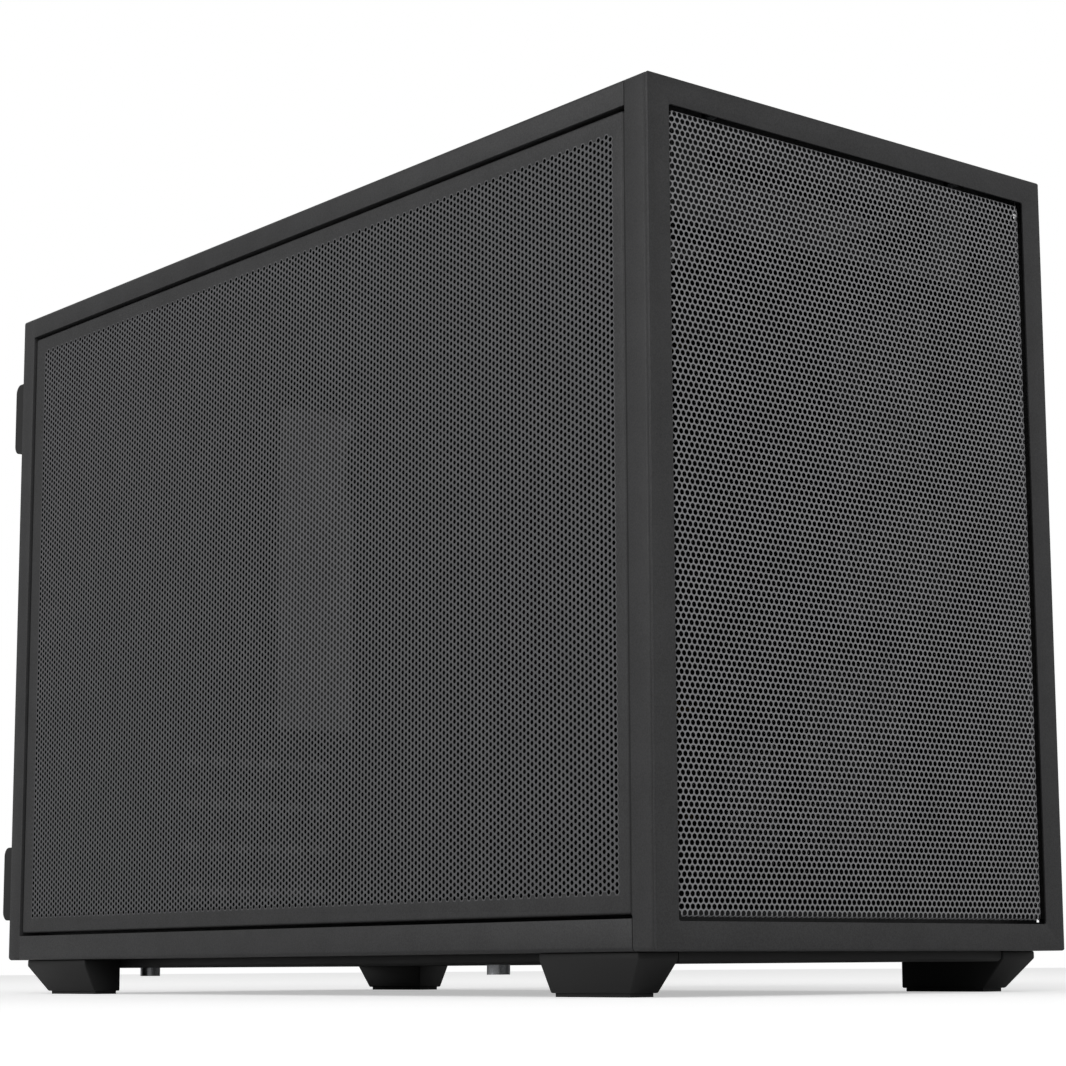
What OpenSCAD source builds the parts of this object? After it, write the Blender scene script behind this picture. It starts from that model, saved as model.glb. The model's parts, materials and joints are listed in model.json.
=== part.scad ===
// Compact micro-ATX computer case in folded sheet steel, perforated on the front, both sides and the top.
// X runs to the viewer's right, the front looks along -Y and Z is up, with the floor at Z = 0.

/* [Body] */
// Width over the two side faces
body_w = 201; // [196:1:230]
// Depth from the front face to the rim of the rear panel
body_d = 432; // [425:1:480]
// Height from the underside to the top
body_h = 291.3; // [288:0.1:330]
// Thickness of the folded steel sheet
sheet_t = 0.8; // [0.6:0.1:1.2]
// Outer radius of the long bends
bend_r = 1.5; // [1.3:0.1:3]

/* [Front panel] */
// Depth of the front panel's folded edges
front_d = 11.6; // [10:0.1:16]
// Seam between the front panel and the chassis
front_seam = 0.3; // [0.2:0.1:1]
// Radius of the front plate's pressed edge
plate_r = 0.7; // [0.3:0.1:0.8]
// Width of the ring's flange behind the front plate
ring_flange = 7; // [6.8:0.1:7]
// Width of the frame bars at the left and right
frame_side_w = 10; // [8:0.1:14]
// Width of the frame bars at the top and bottom
frame_end_w = 9.6; // [8:0.1:14]
// How far the mesh lies behind the front face
mesh_sink = 1; // [0.8:0.1:3]
// Depth of the mesh's curled edge
mesh_curl = 4; // [3:0.5:7]
// Width of the mesh's flange behind the frame
mesh_flange = 2.5; // [1.5:0.1:3]
// Depth of the inner frame's stiffening flanges
frame_flange = 14; // [8:1:16]
// Distance of those flanges' ends from the corners of the inner frame
flange_end = 6; // [6:0.5:12]

/* [Rails and panels] */
// Height of the rail below the side panels
rail_low_h = 10.5; // [8:0.1:14]
// Height of the rail above the side panels, and width of the top's side rails
rail_top_h = 9.2; // [8:0.1:14]
// Depth of the rear panel's rim
rear_rim_d = 9.5; // [8:0.1:16]
// Gap round the side and top panels
panel_gap = 1.3; // [0.8:0.1:2]
// How far the panels lie below the frame
panel_sink = 0.6; // [0.4:0.1:1]
// Depth from the side face to the ledge that a side panel seats on
ledge_depth = 9.5; // [8:0.1:9.5]
// Height of that ledge
ledge_h = 12; // [11:0.5:20]
// Width of the shelf under the top panel
shelf_w = 8; // [7:0.5:8]
// Depth of the fixed bar at the front of the top
top_bar_d = 24; // [22:1:32]

/* [Perforation] */
// Pitch of the holes, drawn much coarser than the real sheet's 2.4 mm
hole_pitch = 26; // [20:1:60]
// Steel left between two holes
hole_web = 4.5; // [2:0.5:8]
// Plain margin of the side panels at the top and bottom
margin_z = 6.5; // [4:0.5:20]
// Plain margin of the side panels at the front and rear
margin_y = 6.1; // [4:0.1:20]

/* [Panel studs] */
// Radius of a stud's ball
ball_r = 2; // [1.8:0.1:2.2]
// Radius of a stud's neck
neck_r = 1.3; // [1:0.1:1.5]
// Clearance round the ball in its clip
ball_gap = 0.3; // [0.25:0.05:0.5]
// Outer radius of a clip
clip_r = 3.6; // [3.4:0.1:4]
// Length of a clip
clip_len = 5; // [4:0.1:5]
// Distance of the side panels' studs from the middle of the panel
side_stud_y = 165; // [120:1:175]
// Distance of the front panel's studs from the middle
front_stud_x = 62; // [50:1:66]
// Distance of the top panel's studs from the middle
top_stud_x = 50; // [40:1:70]

/* [Feet] */
// Height from the floor to the underside
foot_h = 14.7; // [12:0.1:20]
// Length of a foot from front to back
foot_l = 50.5; // [40:0.5:60]
// Width of a foot
foot_w = 17.5; // [17:0.1:20]
// Height of a foot's upright top band
foot_band = 2.6; // [2:0.1:4]
// How far the outer side slopes in
foot_slope_out = 5; // [3:0.5:7]
// How far the end slopes in
foot_slope_end = 10; // [6:0.5:14]
// Distance of a foot from the body's side
foot_inset_x = 3; // [2:0.5:5]
// Distance of a foot from the body's front and rear
foot_inset_y = 12; // [12:0.5:30]
// Thickness of a rubber pad
pad_h = 1.3; // [1:0.1:3]
// How far a pad stays in from the edge of its foot
pad_inset = 1.2; // [0.8:0.1:2]

/* [Underside] */
// Thickness of the bottom filter's frame
filter_h = 3.7; // [3.2:0.1:5]
// Gap between the filter and the feet
filter_gap = 0.5; // [0.3:0.1:3]
// Distance of the filter's ends from the ends of the body
filter_end = 12.5; // [12:0.5:20]
// Width of the filter frame's bars
filter_bar = 8; // [6:0.5:12]
// Thickness of the filter's sheet
filter_mesh_t = 0.4; // [0.3:0.1:0.8]
// Bevel round the filter's lower edge
filter_bevel = 1; // [0.5:0.1:1.5]
// Distance of the two thumbscrews from the filter's left edge
thumb_in = 23.5; // [18:0.5:30]
// Distance of the front thumbscrew from the front face
thumb_front = 137; // [100:1:160]
// Distance of the rear thumbscrew from the rim of the rear panel
thumb_rear = 47; // [40:1:90]
// Radius of a thumbscrew's head
thumb_r = 4.3; // [3.5:0.1:6]
// Height of a thumbscrew's head
thumb_h = 3.6; // [3:0.1:5]
// Radius of a thumbscrew's thread
thumb_shank_r = 1.5; // [1.4:0.1:2]
// Clearance round screws in their holes
screw_gap = 0.3; // [0.2:0.05:0.5]
// Length of a thumbscrew's thread
thumb_shank_l = 8; // [7:0.5:12]

/* [Fans] */
// Spacing of the screw holes of a 120 mm fan
fan_hole_s = 105; // [105:0.5:105]
// Radius of the fans' screw holes
fan_hole_r = 2.25; // [2:0.05:2.5]
// Width and height of the openings for bottom and top fans
fan_window = 96; // [80:1:98]
// Diameter of the rear fan's grille
rear_fan_d = 112; // [100:1:114]
// Pitch of the holes in the rear grille
rear_pitch = 21; // [14:1:30]
// Web between the holes in the rear grille
rear_web = 3.5; // [1.5:0.5:5]
// Distance of the bottom fans' middles from the rear wall
bottom_fan_1 = 76; // [70:1:90]
// Distance between the middles of two fans in a row
fan_step = 125; // [121:1:140]
// Sideways place of the bottom fans
bottom_fan_x = 15; // [5:1:18]

/* [Board] */
// Distance from the right side face to the board tray
tray_in = 16.5; // [16:0.1:24]
// Height of a standoff
standoff_h = 6.5; // [5:0.5:8]
// Outer radius of a standoff
standoff_r = 3; // [2.8:0.1:3.5]
// Radius of a standoff's thread
standoff_hole_r = 1.5; // [1.4:0.1:1.6]
// Thickness of a circuit board
board_t = 1.6; // [1.6:0.1:1.6]
// Length of the sides of a micro-ATX board
board_l = 243.8; // [243.8:0.1:243.8]
// Distance from the top of the case to the top edge of the board
board_drop = 21; // [18:0.5:26]
// Distance from the rear wall to the rear edge of the board
board_back = 1; // [0.5:0.1:2]
// Length of the opening for the board's ports
port_l = 158.75; // [158.75:0.05:158.75]
// Width of the opening for the board's ports
port_w = 44.45; // [44.45:0.05:44.45]
// Distance from the board's top edge to the middle of the first expansion slot
slot_drop = 177.75; // [177.75:0.05:177.75]
// Pitch of the expansion slots
slot_pitch = 20.32; // [20.32:0.01:20.32]
// Number of expansion slots
slot_n = 4; // [4:1:4]
// Height of one slot's opening
slot_open = 13.5; // [12:0.5:15]
// Length of a slot's opening
slot_len = 100; // [96:1:104]
// Width of a slot cover
cover_w = 18.4; // [17:0.1:19]
// Radius of a slot screw's thread
slot_screw_r = 1.5; // [1.5:0.1:1.8]
// Radius of a slot screw's head
slot_screw_head_r = 3.4; // [3:0.1:3.6]
// Height of a slot screw's head
slot_screw_h = 2.2; // [1.6:0.1:2.6]
// Length of a slot screw's thread
slot_screw_l = 5; // [4:0.5:6]
// Length of a slot cover's bent tab
tab_l = 11; // [10:0.5:12]

/* [Power supply and drives] */
// Spacing across of a power supply's screw holes
psu_hole_x = 138; // [138:1:138]
// Spacing the other way of a power supply's screw holes
psu_hole_y = 64; // [64:1:64]
// Depth of the power supply bracket
psu_depth = 86; // [86:1:90]
// Distance from the top of the case to the bracket
psu_drop = 44; // [40:1:60]
// Length of the solid state drive bracket
ssd_l = 106; // [100:1:120]
// Height of the solid state drive bracket
ssd_w = 74; // [70:1:84]
// Spacing of a drive's screw holes along the drive
ssd_hole_y = 76.6; // [76.6:0.1:76.6]
// Spacing of a drive's screw holes across the drive
ssd_hole_z = 61.72; // [61.72:0.01:61.72]
// Height of the drive bracket's feet off the tray
ssd_lift = 4; // [3:0.5:6]

/* [Mains inlet] */
// Width of the mains inlet's body
inlet_w = 27; // [27:0.1:27]
// Height of the mains inlet's body
inlet_h = 19.6; // [19.6:0.1:19.6]
// Depth of the mains inlet's body
inlet_d = 20; // [18:0.5:24]
// Spacing of the mains inlet's screw holes
inlet_hole_s = 40; // [40:0.1:40]
// Gap between the mains inlet and the slots below it
inlet_gap = 3; // [1:0.5:10]

/* [Ports and buttons] */
// Place of the power button, to the right of the middle
power_x = 40; // [34:1:42]
// Place of the reset button
reset_x = 25; // [23:1:28]
// Place of the small oval port
usb_c_x = 13; // [12:0.5:16]
// Place of the first wide port
usb_a_x = -1; // [-2:0.5:0]
// Distance between the two wide ports
usb_a_step = 19; // [16:0.5:19]
// Distance of the audio socket to the left of the middle
audio_in = 36; // [33:1:42]
// Depth of the port housing
io_d = 13; // [12:0.5:14]
// Height of the port housing
io_h = 16; // [14:0.5:20]
// Width of the port housing
io_w = 104; // [104:1:108]
// Radius of the power button
power_r = 5; // [4:0.1:5.5]
// Radius of the reset button
reset_r = 2; // [1.6:0.1:2.5]
// Travel of the buttons
button_travel = 1.2; // [0.8:0.1:1.8]
// Clearance round the buttons and the sockets
button_gap = 0.3; // [0.2:0.05:0.4]

/* [Rear stand-offs] */
// How far the stand-offs reach behind the rim
bumper_out = 11; // [6:0.5:20]
// Height of a stand-off
bumper_h = 32.5; // [20:0.5:40]
// Width of a stand-off
bumper_w = 10; // [8:0.5:10]
// Distance of a stand-off from the body's side
bumper_inset = 2.4; // [2:0.1:3]
// Height of the lower stand-offs above the underside
bumper_low = 17.7; // [12:0.1:30]
// Height of the upper stand-offs above the underside
bumper_high = 230.8; // [180:0.1:240]
// Corner radius of a stand-off
bumper_r = 4; // [2:0.5:5]

/* [Hidden] */
$fn = 48;

coat = [0.17, 0.17, 0.18];
coat_dark = [0.11, 0.11, 0.12];
plastic = [0.08, 0.08, 0.085];
rubber = [0.05, 0.05, 0.05];
zinc = [0.62, 0.63, 0.65];
brass = [0.72, 0.58, 0.32];

half_w = body_w / 2;
y_front = -(body_d + bumper_out) / 2;
y_rim = y_front + body_d;
y_chassis = y_front + front_d;
y_wall = y_rim - rear_rim_d;
y_back = y_rim + bumper_out;
z_under = foot_h;
z_top = foot_h + body_h;
z_floor = z_under + sheet_t;
z_roof = z_top - sheet_t;
z_rail = z_under + rail_low_h;
z_rail_top = z_top - rail_top_h;
x_ledge = half_w - ledge_depth;
x_plate = half_w - 2 * sheet_t;

panel_y0 = y_chassis + panel_gap;
panel_y1 = y_wall - panel_gap;
panel_z0 = z_rail + panel_gap;
panel_z1 = z_rail_top - panel_gap;
panel_x = half_w - panel_sink;
panel_y = (panel_y0 + panel_y1) / 2;
stud_z0 = z_rail + ledge_h / 2;
stud_z1 = z_rail_top - ledge_h / 2;

top_y0 = y_chassis + top_bar_d;
top_half = half_w - rail_top_h;
z_shelf = z_rail_top + sheet_t;
top_y = (top_y0 + y_wall) / 2;
top_stud_at = [top_y0 + shelf_w / 2, y_wall - shelf_w / 2];
front_stud_z0 = z_under + frame_end_w / 2 + 0.7;
front_stud_z1 = z_top - frame_end_w / 2 - 0.7;
bar_y = y_chassis + sheet_t + clip_len + 1.5 + io_d / 2;

x_tray = half_w - tray_in;
x_board = x_tray - standoff_h - board_t;
z_board = z_top - board_drop;
y_board = y_wall - board_back;
port_x1 = x_board + 2.2;
port_x0 = port_x1 - port_w;
port_z1 = z_board - 1.5;
port_z0 = port_z1 - port_l;
slot_x1 = x_board - 2;
slot_x0 = slot_x1 - slot_len;
slot_z1 = z_board - slot_drop;
fan_x = (port_x0 - half_w) / 2 - 1;
fan_z = port_z1 - rear_fan_d / 2 - 4;
inlet_x = -half_w + 34;
inlet_flange_h = inlet_h + 3.4;
inlet_z = slot_z1 + slot_pitch / 2 + inlet_gap + inlet_flange_h / 2;
open_x = x_tray;
open_z0 = z_floor + 12.5;
open_z1 = z_roof - 13.2;
psu_z = z_top - psu_drop;
psu_x = -5;
psu_y = y_chassis + sheet_t + 2 + psu_depth / 2;
filter_x = half_w - foot_inset_x - foot_w - filter_gap;
filter_y0 = y_front + filter_end;
filter_y1 = y_rim - filter_end;
thumb_at = [-filter_x + thumb_in, [y_front + thumb_front, y_rim - thumb_rear]];
filter_open_x = thumb_at[0] + 12;
usb_x = [usb_a_x, usb_a_x - usb_a_step];
audio_x = -audio_in;

// Places of the board's standoffs: distance from the rear edge, distance from the top edge
standoff_at = [
    [10.16, 33.02], [165.1, 10.16], [237.49, 10.16],
    [10.16, 167.64], [165.1, 167.64], [237.49, 167.64],
    [10.16, 213.36], [165.1, 213.36], [237.49, 213.36],
];

// Opening behind the cooler: its front and rear edges from the board's rear edge,
// then its lower and upper edges from the board's top edge
cooler_cut = [152, 30, 150, 45];

// Cable windows in the board tray: distance of the front and rear edge from the board's front edge,
// then height of the lower and upper edge above the floor plate
tray_windows = [[144, 81, 128, 169], [135, 81, 184, 249], [117, 60, 38, 112], [48, 15, 38, 84]];
// Plain strip that the tray keeps at its front
tray_strip = 18;

module rounded(w, h, r) {
    square([w, h - 2 * r], center = true);
    square([w - 2 * r, h], center = true);
    for (x = [-1, 1], y = [-1, 1]) translate([x * (w / 2 - r), y * (h / 2 - r)]) circle(r);
}

module rounded_at(x0, x1, y0, y1, r) {
    translate([(x0 + x1) / 2, (y0 + y1) / 2]) rounded(x1 - x0, y1 - y0, r);
}

module along_x(x0, x1) { translate([x0, 0, 0]) rotate([90, 0, 90]) linear_extrude(x1 - x0) children(); }
module along_y(y0, y1) { translate([0, y1, 0]) rotate([90, 0, 0]) linear_extrude(y1 - y0) children(); }
module along_z(z0, z1) { translate([0, 0, z0]) linear_extrude(z1 - z0) children(); }

module block(x0, x1, y0, y1, z0, z1) {
    translate([x0, y0, z0]) cube([x1 - x0, y1 - y0, z1 - z0]);
}

module rod_x(x0, x1, y, z, r) { translate([x0, y, z]) rotate([0, 90, 0]) cylinder(h = x1 - x0, r = r); }
module rod_y(y0, y1, x, z, r) { translate([x, y1, z]) rotate([90, 0, 0]) cylinder(h = y1 - y0, r = r); }
module rod_z(z0, z1, x, y, r) { translate([x, y, z0]) cylinder(h = z1 - z0, r = r); }

// Staggered hexagonal holes, in rows along x, that fill a field of w by h round the origin
module hex_holes(w, h, pitch, web) {
    rows = floor((h - pitch) / (pitch * sin(60))) + 1;
    cols = floor(w / pitch);
    for (j = [0:rows - 1], i = [0:cols - 1 - j % 2])
        translate([(i - (cols - 1) / 2 + (j % 2) / 2) * pitch, (j - (rows - 1) / 2) * pitch * sin(60)])
            rotate(30) circle(d = (pitch - web) / cos(30), $fn = 6);
}

// Radius of the long bends at a depth of inset into the sheet
function bend_at(inset) = bend_r - inset * (bend_r - 0.4) / sheet_t;

module body_section(inset) {
    translate([0, (z_under + z_top) / 2])
        rounded(body_w - 2 * inset, body_h - 2 * inset, bend_at(inset));
}

module section_wall() {
    difference() {
        body_section(0);
        body_section(sheet_t);
    }
}

// The space that the front plate takes out of the rails
module plate_space() {
    block(-x_plate, x_plate, y_chassis - 1, y_chassis + sheet_t, z_floor, z_roof);
}

// The body's section from y0 to y1, made smaller by inset and rounded by r along the edges at y0
module front_form(y0, y1, inset, r) {
    intersection() {
        along_y(y0, y1) body_section(inset);
        along_x(-half_w, half_w) rounded_at(y0, y1 + 3 * r, z_under + inset, z_top - inset, r);
        along_z(z_under, z_top) rounded_at(-half_w + inset, half_w - inset, y0, y1 + 3 * r, r);
    }
}

module front_panel() color(coat) {
    difference() {
        front_form(y_front, y_front + sheet_t, 0, plate_r);
        along_y(y_front - 1, y_front + sheet_t + 1)
            rounded_at(-half_w + frame_side_w, half_w - frame_side_w,
                z_under + frame_end_w, z_top - frame_end_w, 1);
    }
}

// The folded ring that carries the front plate and the mesh
module front_ring() color(coat) {
    y0 = y_front + sheet_t;
    difference() {
        front_form(y0, y_chassis - front_seam, 0, bend_r);
        front_form(y0 + sheet_t, y_chassis, sheet_t, bend_at(sheet_t));
        along_y(y0 - 1, y0 + sheet_t + 1) translate([0, (z_under + z_top) / 2])
            square([body_w - 2 * ring_flange, body_h - 2 * ring_flange], center = true);
    }
}

module front_mesh() color(coat) {
    w = body_w - 2 * frame_side_w - 0.4;
    h = body_h - 2 * frame_end_w - 0.4;
    mid = (z_under + z_top) / 2;
    y0 = y_front + mesh_sink;
    difference() {
        union() {
            along_y(y0, y_front + sheet_t + mesh_curl) translate([0, mid]) rounded(w, h, 1);
            along_y(y_front + sheet_t, y_front + 2 * sheet_t)
                translate([0, mid]) square([w + 2 * mesh_flange, h + 2 * mesh_flange], center = true);
        }
        along_y(y0 + sheet_t, y_front + 20)
            translate([0, mid]) square([w - 2 * sheet_t, h - 2 * sheet_t], center = true);
        along_y(y0 - 1, y0 + sheet_t + 1)
            translate([0, mid]) hex_holes(w - 3, h - 3, hole_pitch, hole_web);
    }
}

// A side panel on the right: perforated sheet with folded edges and holes for the studs' rivets
module side_panel() {
    l = panel_y1 - panel_y0;
    h = panel_z1 - panel_z0;
    z = (panel_z0 + panel_z1) / 2;
    difference() {
        along_x(x_ledge, panel_x) translate([panel_y, z]) rounded(l, h, 1);
        along_x(x_ledge - 1, panel_x - sheet_t)
            translate([panel_y, z]) square([l - 2 * sheet_t, h - 2 * sheet_t], center = true);
        along_x(panel_x - 2, panel_x + 1) translate([panel_y, z]) rotate(90)
            hex_holes(h - 2 * margin_z, l - 2 * margin_y, hole_pitch, hole_web);
    }
    for (y = [-1, 1], z = [stud_z0, stud_z1])
        rod_x(panel_x - sheet_t, panel_x - sheet_t / 2, panel_y + y * side_stud_y, z, clip_r);
}

module left_side_panel() color(coat) mirror([1, 0, 0]) side_panel();
module right_side_panel() color(coat) side_panel();

module top_panel() color(coat) {
    x = top_half - panel_gap;
    y0 = top_y0 + panel_gap;
    y1 = y_wall - panel_gap;
    z = z_top - panel_sink;
    difference() {
        along_z(z_shelf, z) rounded_at(-x, x, y0, y1, 1);
        block(-x + sheet_t, x - sheet_t, y0 + sheet_t, y1 - sheet_t, z_shelf - 1, z - sheet_t);
        along_z(z - 2, z + 1) translate([0, (y0 + y1) / 2]) rotate(90)
            hex_holes(y1 - y0 - 2 * margin_y, 2 * x - 2 * margin_z, hole_pitch, hole_web);
    }
    for (sx = [-1, 1], y = top_stud_at) rod_z(z - sheet_t, z - sheet_t / 2, sx * top_stud_x, y, clip_r);
}

// The folded rail under a side panel, seen from the front, on the right
module low_rail() {
    translate([x_ledge - sheet_t, z_rail - sheet_t]) square([ledge_depth, sheet_t]);
    translate([x_ledge - sheet_t, z_rail - sheet_t]) square([sheet_t, ledge_h + sheet_t]);
}

// The folded rail over a side panel and beside the top panel
module top_rail() {
    translate([top_half - shelf_w, z_rail_top]) square([half_w - sheet_t / 2 - top_half + shelf_w, sheet_t]);
    translate([x_ledge - sheet_t, z_rail_top - ledge_h]) square([sheet_t, ledge_h + sheet_t]);
    translate([top_half, z_rail_top]) square([sheet_t, rail_top_h - sheet_t / 2]);
}

module fan_holes(x, y) {
    for (sx = [-1, 1], sy = [-1, 1]) translate([x + sx * fan_hole_s / 2, y + sy * fan_hole_s / 2]) circle(fan_hole_r);
}

module bottom_pan() color(coat) {
    difference() {
        along_y(y_chassis, y_wall) {
            intersection() {
                section_wall();
                translate([-body_w, z_under]) square([2 * body_w, rail_low_h]);
            }
            for (s = [0, 1]) mirror([s, 0]) low_rail();
        }
        plate_space();
        along_z(z_under - 1, z_floor + 1) for (i = [0, 1]) {
            y = y_wall - bottom_fan_1 - i * fan_step;
            translate([bottom_fan_x, y]) rounded(fan_window, fan_window, 8);
            fan_holes(bottom_fan_x, y);
        }
        for (y = thumb_at[1])
            rod_z(z_under - 1, z_floor + 1, thumb_at[0], y, thumb_shank_r + screw_gap);
        for (x = [-1, 1], y = [-1, 1], z = [stud_z0])
            rod_x(x * x_ledge - 2, x * x_ledge + 2, panel_y + y * side_stud_y, z, ball_r + 2 * ball_gap);
    }
}

module top_frame() color(coat) {
    difference() {
        union() {
            along_y(y_chassis, y_wall) {
                difference() {
                    section_wall();
                    translate([-body_w, 0]) square([2 * body_w, z_rail_top]);
                    translate([-top_half, z_rail_top]) square([2 * top_half, 2 * rail_top_h]);
                }
                for (s = [0, 1]) mirror([s, 0]) top_rail();
            }
            block(-top_half - sheet_t, top_half + sheet_t, y_chassis, top_y0, z_roof, z_top);
            block(-top_half - sheet_t, top_half + sheet_t, top_y0 - sheet_t, top_y0, z_rail_top, z_top - sheet_t / 2);
            block(-top_half, top_half, top_y0 - sheet_t, top_y0 + shelf_w, z_rail_top, z_shelf);
            block(-top_half, top_half, y_wall - shelf_w, y_wall, z_rail_top, z_shelf);
        }
        plate_space();
        for (x = [-1, 1], y = [-1, 1])
            rod_x(x * x_ledge - 2, x * x_ledge + 2, panel_y + y * side_stud_y, stud_z1, ball_r + 2 * ball_gap);
        for (x = [-1, 1], y = top_stud_at)
            rod_z(z_rail_top - 1, z_shelf + 1, x * top_stud_x, y, ball_r + 2 * ball_gap);
        io_cutters(z_roof - 1, z_top + 1, button_gap);
    }
}

module front_frame() color(coat) {
    difference() {
        block(-x_plate, x_plate, y_chassis, y_chassis + sheet_t, z_floor, z_roof);
        along_y(y_chassis - 1, y_chassis + sheet_t + 1) rounded_at(-open_x, open_x, open_z0, open_z1, 4);
        for (x = [-1, 1], z = [front_stud_z0, front_stud_z1])
            rod_y(y_chassis - 1, y_chassis + 2, x * front_stud_x, z, ball_r + 2 * ball_gap);
    }
    block(-open_x - sheet_t, -open_x, y_chassis, y_chassis + frame_flange,
        open_z0 + flange_end, open_z1 - flange_end);
    block(-open_x + flange_end, open_x - flange_end, y_chassis, y_chassis + frame_flange,
        open_z0 - sheet_t, open_z0);
}

module slot_openings() {
    for (i = [0:slot_n - 1])
        translate([slot_x0, slot_z1 - i * slot_pitch - slot_open / 2]) square([slot_len, slot_open]);
}

module rear_panel() color(coat) {
    along_y(y_wall, y_wall + sheet_t) {
        difference() {
            body_section(0);
            translate([port_x0, port_z0]) square([port_w, port_l]);
            slot_openings();
            intersection() {
                translate([fan_x, fan_z]) circle(d = rear_fan_d);
                translate([fan_x, fan_z]) hex_holes(rear_fan_d, rear_fan_d, rear_pitch, rear_web);
            }
            fan_holes(fan_x, fan_z);
            translate([inlet_x, inlet_z])
                square([inlet_w + 2 * button_gap, inlet_h + 2 * button_gap], center = true);
        }
    }
}

module rear_rim() color(coat) {
    along_y(y_wall + sheet_t, y_rim) section_wall();
}

module motherboard_tray() color(coat_dark) {
    y0 = y_chassis + sheet_t;
    difference() {
        block(x_tray, x_tray + sheet_t, y0, y_wall, z_floor, z_rail_top);
        along_x(x_tray - 1, x_tray + sheet_t + 1) {
            for (w = tray_windows)
                rounded_at(max(y_board - board_l - w[0], y0 + tray_strip),
                    max(y_board - board_l - w[1], y0 + tray_strip + 12),
                    z_floor + w[2], z_floor + w[3], 5);
            rounded_at(y_board - cooler_cut[0], y_board - cooler_cut[1],
                z_board - cooler_cut[2], z_board - cooler_cut[3], 8);
            for (p = standoff_at) translate([y_board - p[0], z_board - p[1]]) circle(standoff_hole_r);
        }
    }
}

module motherboard_standoffs() color(brass) {
    for (p = standoff_at) difference() {
        rod_x(x_tray - standoff_h, x_tray, y_board - p[0], z_board - p[1], standoff_r);
        rod_x(x_tray - standoff_h - 1, x_tray + 1, y_board - p[0], z_board - p[1], standoff_hole_r);
    }
}

module top_fan_bracket() color(coat_dark) {
    z = z_rail_top - sheet_t;
    y0 = top_y - fan_step - 4;
    y1 = top_y + fan_step + 4;
    difference() {
        block(-x_ledge + 2, x_tray - 0.3, y0, y1, z, z_rail_top);
        for (i = [-1, 1]) {
            y = top_y + i * fan_step / 2;
            along_z(z - 1, z_rail_top + 1) {
                translate([0, y]) rounded(fan_window, fan_window, 8);
                fan_holes(0, y);
            }
        }
    }
}

module psu_bracket() color(coat_dark) {
    w = psu_hole_x + 16;
    y0 = y_chassis + sheet_t;
    difference() {
        union() {
            block(psu_x - w / 2, psu_x + w / 2, y0, y0 + psu_depth + 4, psu_z, psu_z + sheet_t);
            block(psu_x - w / 2, psu_x + w / 2, y0, y0 + sheet_t, psu_z, open_z1 + 4);
            block(psu_x - w / 2, psu_x + w / 2, y0 + psu_depth + 4 - sheet_t, y0 + psu_depth + 4, psu_z - 10, psu_z);
        }
        along_z(psu_z - 1, psu_z + sheet_t + 1) {
            translate([psu_x, psu_y]) rounded(psu_hole_x - 20, psu_hole_y - 2, 4);
            for (sx = [-1, 1], sy = [-1, 1])
                translate([psu_x + sx * psu_hole_x / 2, psu_y + sy * psu_hole_y / 2]) circle(2);
        }
        along_y(y0 - 1, y0 + sheet_t + 1) rounded_at(psu_x - w / 2 + 20, psu_x + w / 2 - 20, psu_z + 6, open_z1 - 2, 3);
    }
}

module ssd_bracket() color(coat_dark) {
    x = x_tray + sheet_t;
    y0 = y_board - board_l / 2 - ssd_l / 2;
    z0 = z_floor + 18;
    difference() {
        union() {
            block(x + ssd_lift, x + ssd_lift + sheet_t, y0, y0 + ssd_l, z0, z0 + ssd_w);
            for (y = [y0, y0 + ssd_l - sheet_t]) block(x, x + ssd_lift + sheet_t, y, y + sheet_t, z0, z0 + ssd_w);
        }
        for (sy = [-1, 1], sz = [-1, 1])
            rod_x(x + 1, x + 20, y0 + ssd_l / 2 + sy * ssd_hole_y / 2, z0 + ssd_w / 2 + sz * ssd_hole_z / 2, 1.7);
    }
}

// A slot cover, with its bent tab on the ledge
module slot_cover(i) color(coat_dark) {
    z = slot_z1 - i * slot_pitch;
    x0 = slot_x0 - 4;
    difference() {
        union() {
            block(x0, slot_x1 + 6, y_wall - sheet_t, y_wall, z - cover_w / 2, z + cover_w / 2);
            block(x0, x0 + sheet_t, y_wall - tab_l, y_wall, z - cover_w / 2, z + cover_w / 2);
        }
        rod_x(x0 - 1, x0 + sheet_t + 1, y_wall - tab_l / 2, z, slot_screw_r + screw_gap);
        for (j = [0:5]) translate([slot_x0 + 14 + j * 14, y_wall - 2, z]) rotate([-90, 0, 0])
            linear_extrude(4) rounded(11, 4, 1.9);
    }
}

module slot_ledge() color(coat_dark) {
    x1 = slot_x0 - 4;
    z0 = slot_z1 - (slot_n - 1) * slot_pitch - slot_pitch / 2;
    z1 = slot_z1 + slot_pitch / 2;
    difference() {
        union() {
            block(x1 - sheet_t, x1, y_wall - tab_l - 1, y_wall, z0, z1);
            block(x1 - 10, x1, y_wall - sheet_t, y_wall, z0, z1);
        }
        for (i = [0:slot_n - 1])
            rod_x(x1 - 2, x1 + 1, y_wall - tab_l / 2, slot_z1 - i * slot_pitch, slot_screw_r + screw_gap);
    }
}

module slot_screws() color(zinc) {
    x = slot_x0 - 4 + sheet_t;
    for (i = [0:slot_n - 1]) {
        z = slot_z1 - i * slot_pitch;
        rod_x(x, x + slot_screw_h, y_wall - tab_l / 2, z, slot_screw_head_r);
        rod_x(x - slot_screw_l, x + 0.1, y_wall - tab_l / 2, z, slot_screw_r);
    }
}

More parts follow.
